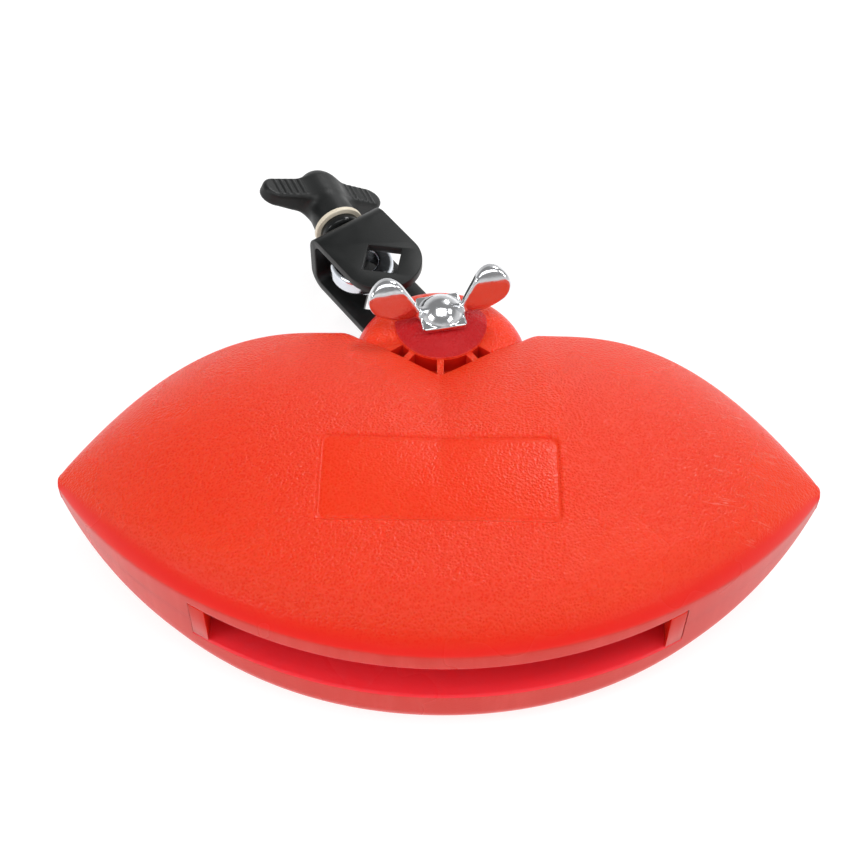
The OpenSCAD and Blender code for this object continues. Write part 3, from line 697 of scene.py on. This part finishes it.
def ivory(name):
    look = Look(name, IOR=1.46)
    cloud = look.noise(240, 4, 0.6)
    look.put(look.shader.inputs["Base Color"], look.colour(cloud, (0.70, 0.61, 0.46), (0.84, 0.77, 0.64)))
    look.put(look.shader.inputs["Roughness"], look.ramp(cloud, 0.3, 0.7, 0.35, 0.5))
    look.bump(look.noise(1600, 2, 0.5), 0.00004, 0.4)
    return look.material


def brass(name):
    look = Look(name, Metallic=1.0)
    cloud = look.noise(300, 4, 0.6)
    look.put(look.shader.inputs["Base Color"], look.colour(cloud, (0.60, 0.40, 0.13), (0.76, 0.55, 0.22)))
    look.put(look.shader.inputs["Roughness"], look.ramp(cloud, 0.3, 0.7, 0.22, 0.38))
    look.bump(look.noise(1500, 3, 0.6), 0.00003, 0.4)
    return look.material


def finish_piece(obj, material, slot, body, *nodes):
    obj.data.materials.clear()
    obj.data.materials.append(material)
    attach(obj, body)
    if nodes:
        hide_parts(*nodes)
    return obj


# The block

def stations(fine):
    """Places of the cross-sections: even, and gathered at the tips and at the plate's ends."""
    even = np.linspace(-TIP_X, TIP_X, 181 if fine else 121)
    tips = TIP_X + TIP_CAP * np.cos(np.radians([75, 60, 45, 30, 18]))
    places = [even, tips, -tips]
    if fine:
        edge = np.arange(PLATE_W / 2 - PLATE_R - 1, PLATE_W / 2 + 1.7, 0.33)
        places += [edge, -edge]
    joined = np.unique(np.round(np.concatenate(places), 4))
    keep = [joined[0]]
    for v in joined[1:]:
        if v - keep[-1] > 0.08 or abs(v) > TIP_X - 0.5:
            keep.append(v)
    if not any(abs(v) < 1e-6 for v in keep):
        keep.append(0.0)
    return sorted(keep)


def arc_points(cx, cy, r, start, end, steps):
    return [(cx + r * math.cos(t), cy + r * math.sin(t)) for t in np.radians(np.linspace(start, end, steps))]


def frame_outline(inner, reach):
    """Plan of the chamber frame's inner or outer edge, open to the front."""
    half = SLOT_W / 2 + (0 if inner else FRAME_T)
    back = FRAME_BACK - (FRAME_T if inner else 0)
    r = FRAME_CORNER - (FRAME_T if inner else 0)
    corners = arc_points(half - r, back - r, r, 0, 90, 13) + arc_points(-half + r, back - r, r, 90, 180, 13)
    return [(half, reach)] + corners + [(-half, reach)]


def frame_ring(name, low, high, inset=0.0):
    """The U of the chamber frame, with its front ends cut to the curve of the front wall."""
    outer = prism(name, frame_outline(False, -2.0), low, high)
    combine(outer, prism("inner", frame_outline(True, -4.0), low - 1, high + 1), "DIFFERENCE")
    front = [(x, float(front_y(x)) + inset) for x in np.linspace(70, -70, 57)]
    combine(outer, prism("front", front + [(-70, -6), (70, -6)], low - 1, high + 1), "DIFFERENCE")
    return outer


def shelf(name):
    """What carries the flat floor or ceiling of the slot, up to a curve behind the front wall."""
    half = SLOT_W / 2 + FRAME_T / 2
    curve = [(x, float(front_y(x)) + SHELF_D) for x in np.linspace(half, -half, 61)]
    return prism(name, curve + [(-half, -2), (half, -2)], SLOT_H / 2, SLOT_H / 2 + SHELF_T)


def shell(name, upper):
    shoulder = UPPER_SHOULDER if upper else LOWER_SHOULDER
    seam = 0.03
    outer = loft(name, [section(x, shoulder, plate=upper, seam=seam) for x in stations(True)])
    lug = [(0, 0), (LUG_R - seam, 0.0), (LUG_R - 0.005, seam)]
    turns = np.radians(np.linspace(4, 90, 18))
    lug += [(LUG_R - LUG_HALF + LUG_HALF * math.cos(t), LUG_HALF * math.sin(t)) for t in turns]
    lug += [(0, LUG_HALF)]
    combine(outer, revolve("lug", lug, 128, (0, LUG_Y, 0)), "UNION")
    if upper:
        boss = [(0, -1), (BOSS_FOOT, -1), (BOSS_FOOT, 0.25), (BOSS_FOOT - 0.5, 0.55)]
        boss += [(BOSS_TOP + 0.7, BOSS_H - 0.35), (BOSS_TOP + 0.2, BOSS_H - 0.08), (BOSS_TOP - 0.3, BOSS_H)]
        boss += [(0, BOSS_H)]
        boss = revolve("boss", boss, 96, (0, PIVOT_Y, LUG_HALF))
        flat = LUG_R - LUG_HALF
        top = revolve("flat", [(0, 0), (flat, 0), (flat, 20), (0, 20)], 128, (0, LUG_Y, 0))
        combine(boss, top, "INTERSECT")
        combine(outer, boss, "UNION")
    # the hollow, without the walls that stand on the chamber frame and the flat floor or ceiling of the slot
    edge = np.linspace(-CAVITY_HALF_W, CAVITY_HALF_W, 61)
    hollow = loft("hollow", [section(x, shoulder, WALL, 26, -WALL) for x in edge])
    combine(hollow, frame_ring("rim", SLOT_H / 2, LIP_H, -1.0), "DIFFERENCE")
    combine(hollow, shelf("shelf"), "DIFFERENCE")
    combine(outer, hollow, "DIFFERENCE")
    # the slot, with a rounded edge along the lip
    right, left = SLOT_W / 2 + FRAME_T + GAP_RIGHT, -SLOT_W / 2 - FRAME_T - GAP_LEFT
    mouth = [(right, FRONT_SAG / 2), (left, FRONT_SAG / 2), (left, -1), (right, -1)]
    combine(outer, prism("mouth", mouth, -1, SLOT_H / 2), "DIFFERENCE")
    r = 0.8
    lip, turns = [], np.radians(np.linspace(90, 0, 7))
    for x in np.linspace(left, right, 91):
        y = float(front_y(x))
        arc = [(x, y + r - r * math.sin(t), SLOT_H / 2 + r - r * math.cos(t)) for t in turns]
        start = [(x, y - 1, SLOT_H / 2 - 0.5), (x, y - 1, SLOT_H / 2 + r)]
        lip.append(start + arc + [(x, y + r, SLOT_H / 2 - 0.5)])
    combine(outer, loft("lip", lip), "DIFFERENCE")
    # pockets between the notch and the boss
    apex = BODY_D - NOTCH_D + NOTCH_R / 2
    side = apex + POCKET_HALF_W * math.tan(math.radians(NOTCH_ANGLE))
    plan = [(0, apex), (POCKET_HALF_W, side), (0, PIVOT_Y), (-POCKET_HALF_W, side)]
    pockets = prism("pockets", plan, LUG_HALF - POCKET_D, LUG_HALF + 1)
    reach = BOSS_FOOT + NOTCH_R / 4
    ring = revolve("ring", [(0, -20), (reach, -20), (reach, 20), (0, 20)], 96, (0, PIVOT_Y, 0))
    combine(pockets, ring, "DIFFERENCE")
    for angle in (-RIB_ANGLE, 0, RIB_ANGLE):
        w = RIB_T / 2
        rib = prism("rib", [(-w, -LUG_R), (w, -LUG_R), (w, 0), (-w, 0)], -20, 20)
        rib.data.transform(Matrix.Translation((0, PIVOT_Y, 0)) @ turn(angle, "Z"))
        combine(pockets, rib, "DIFFERENCE")
    combine(outer, pockets, "DIFFERENCE")
    hole = revolve("bolt_hole", [(0, -2), (HOLE_R, -2), (HOLE_R, 20), (0, 20)], 64, (0, PIVOT_Y, 0))
    combine(outer, hole, "DIFFERENCE")
    if not upper:
        outer.data.transform(Matrix.Scale(-1, 4, (0, 0, 1)))
        outward(outer)
        w = HALF_W + 5
        low = prism("under", [(-w, -5), (w, -5), (w, 150), (-w, 150)], -60, -MIDDLE_Z)
        combine(outer, low, "DIFFERENCE")
    place(outer)
    soften(outer, 30.0)
    return outer


red = red_plastic("red_grained", True)
red_smooth = red_plastic("red_smooth", False)
finish_piece(shell("shell_top", True), red, "red_shell", "block", "upper_shell")
finish_piece(shell("shell_bottom", False), red, "red_shell", "block", "lower_shell")
sound_frame = bevelled("chamber_frame", "sound_frame", 0.15, 2)
finish_piece(sound_frame, red_smooth, "red_frame", "block", "chamber_frame")

# The clamp

chrome_look = chrome("chrome_cast")
ring_look = chrome("chrome_ring", (0.78, 0.82, 0.88))
steel_look = steel("zinc_steel")

head = surface_net("wing_head_cast", wing_head_field, (-22.8, -8, -0.6), (22.8, 10.5, 16.5), 0.3)
soften(head, 50)
place(head, Matrix.Translation((0, PIVOT_Y, LUG_HALF + BOSS_H + 0.05)) @ turn(WING_YAW, "Z"))
finish_piece(head, chrome_look, "chrome_head", "wing_bolt", "wing_head")

stud_low, stud_top = NUT_TOP - NUT_H - 1, LUG_HALF + BOSS_H + 0.05 + 4.0
stud = threaded_rod("stud_thread", stud_top - stud_low)
soften(stud, 80)
place(stud, Matrix.Translation((0, PIVOT_Y, stud_low)))
finish_piece(stud, steel_look, "bare_steel", "wing_bolt", "wing_stud")

hex_nut = bevelled("pivot_nut", "hex_nut", 0.35)
finish_piece(hex_nut, steel_look, "bare_steel", "pivot_nut", "pivot_nut")
split_washer = bevelled("pivot_lock_washer", "split_washer", 0.2)
finish_piece(split_washer, steel_look, "bare_steel", "pivot_nut", "pivot_lock_washer")
strap_bracket = bevelled("bracket", "strap_bracket", 0.45, 3)
finish_piece(strap_bracket, black_coat("black_coat"), "black_steel", "bracket", "bracket")

eye = surface_net("eye_bolt", eye_field, (-10.8, EYE_E - 10.8, -3.8), (10.8, -0.6, 3.8), 0.4)
soften(eye, 50)
place(eye, ON_EYEBOLT)
shank = threaded_rod("shank", SHANK_END + 1.9)
soften(shank, 80)
place(shank, along_eyebolt(-1.9))
with bpy.context.temp_override(active_object=eye, selected_editable_objects=[eye, shank]):
    bpy.ops.object.join()
finish_piece(eye, ring_look, "chrome_eye", "eyebolt", "eyebolt")

spacer_collar = bevelled("knob_collar", "spacer_collar", 0.3, 3)
gloss = black_plastic("black_gloss", 0.12, 0.22, 0.1)
finish_piece(spacer_collar, gloss, "black_collar", "collar", "knob_collar")
ivory_ring = bevelled("knob_washer", "ivory_ring", 0.3, 3)
finish_piece(ivory_ring, ivory("ivory"), "ivory_washer", "collar", "knob_washer")

knob = surface_net("knob_body", knob_field, (-23.2, -8.4, -0.6), (23.2, 8.4, KNOB_L + 0.6), 0.36)
soften(knob, 50)
place(knob, along_eyebolt(KNOB_E) @ turn(KNOB_TURN, "Z"))
finish_piece(knob, black_plastic("black_satin", 0.38, 0.52, 0.5), "black_knob", "knob", "wing_knob")

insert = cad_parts["knob_insert"]
insert.data.materials.clear()
insert.data.materials.append(brass("brass"))

# Studio

FLOOR_GLOW, HORIZON, ZENITH = 0.84, 0.75, 0.28


def floor():
    look = Look("pale_floor", Roughness=0.9)
    cloud = look.noise(3, 2, 0.5)
    look.put(look.shader.inputs["Base Color"], look.colour(cloud, (0.24, 0.24, 0.24), (0.26, 0.26, 0.26)))
    look.shader.inputs["Emission Color"].default_value = (1, 1, 1, 1)
    look.shader.inputs["Emission Strength"].default_value = FLOOR_GLOW
    plane = mesh_object("floor", [(-3, -3, 0), (3, -3, 0), (3, 3, 0), (-3, 3, 0)], [[0, 1, 2, 3]], False)
    plane.location.z = -0.0002
    plane.data.materials.append(look.material)


def softbox(name, at, target, size, power, colour=(1, 1, 1)):
    data = bpy.data.lights.new(name, "AREA")
    data.shape = "RECTANGLE"
    data.size, data.size_y, data.energy, data.color = size[0], size[1], power, colour
    obj = bpy.data.objects.new(name, data)
    bpy.context.scene.collection.objects.link(obj)
    obj.location = at
    obj.rotation_euler = (Vector(target) - Vector(at)).to_track_quat("-Z", "Y").to_euler()


def studio_world():
    """Bright near the horizon and dark above, so that the top face keeps its full colour."""
    world = bpy.data.worlds.new("studio")
    world.use_nodes = True
    tree = world.node_tree
    background = tree.nodes["Background"]
    coords = tree.nodes.new("ShaderNodeTexCoord")
    parts = tree.nodes.new("ShaderNodeSeparateXYZ")
    ramp = tree.nodes.new("ShaderNodeMapRange")
    tree.links.new(coords.outputs["Generated"], parts.inputs[0])
    tree.links.new(parts.outputs[2], ramp.inputs["Value"])
    for key, number in (("From Min", 0.20), ("From Max", 0.52), ("To Min", HORIZON), ("To Max", ZENITH)):
        ramp.inputs[key].default_value = number
    tree.links.new(ramp.outputs[0], background.inputs["Strength"])
    background.inputs["Color"].default_value = (1, 1, 1, 1)
    bpy.context.scene.world = world
    bpy.context.scene.view_settings.view_transform = "Standard"


floor()
studio_world()
centre = (0.0, 0.02, 0.02)
softbox("over", (0.0, -0.15, 1.15), centre, (0.9, 0.7), 4.6)
softbox("left", (-0.80, -0.38, 0.68), centre, (0.42, 0.26), 2.8)
softbox("right_low", (0.78, -0.50, 0.62), centre, (0.34, 0.20), 1.6)
softbox("right", (0.66, 0.10, 0.90), centre, (0.34, 0.22), 1.6)
softbox("back_right", (0.33, 0.83, 0.70), centre, (0.17, 0.17), 3.6)
softbox("front", (0.0, -1.1, 0.42), centre, (0.9, 0.3), 0.2)

IMAGE_PX, FOCAL_PX = 864, 1580.0
ELEVATION, ROLL = math.radians(52.63), math.radians(0.86)
CAMERA_AT = (-2.18, -197.2, 366.0)
forward = Vector((0, math.cos(ELEVATION), -math.sin(ELEVATION)))
up = Vector((0, math.sin(ELEVATION), math.cos(ELEVATION)))
right = Vector((1, 0, 0))
right_r = math.cos(ROLL) * right + math.sin(ROLL) * up
up_r = -math.sin(ROLL) * right + math.cos(ROLL) * up
camera_data = bpy.data.cameras.new("camera")
camera_data.sensor_width = 36.0
camera_data.lens = FOCAL_PX * camera_data.sensor_width / IMAGE_PX
camera_data.clip_start = 0.01
camera = bpy.data.objects.new("camera", camera_data)
bpy.context.scene.collection.objects.link(camera)
turned = Matrix((right_r, up_r, -forward)).transposed().to_4x4()
camera_at = Vector(CAMERA_AT) + Vector((0, -SOLE_Y, MIDDLE_Z))
camera.matrix_world = Matrix.Translation(camera_at * MM) @ turned
bpy.context.scene.camera = camera

bpy.context.view_layer.update()
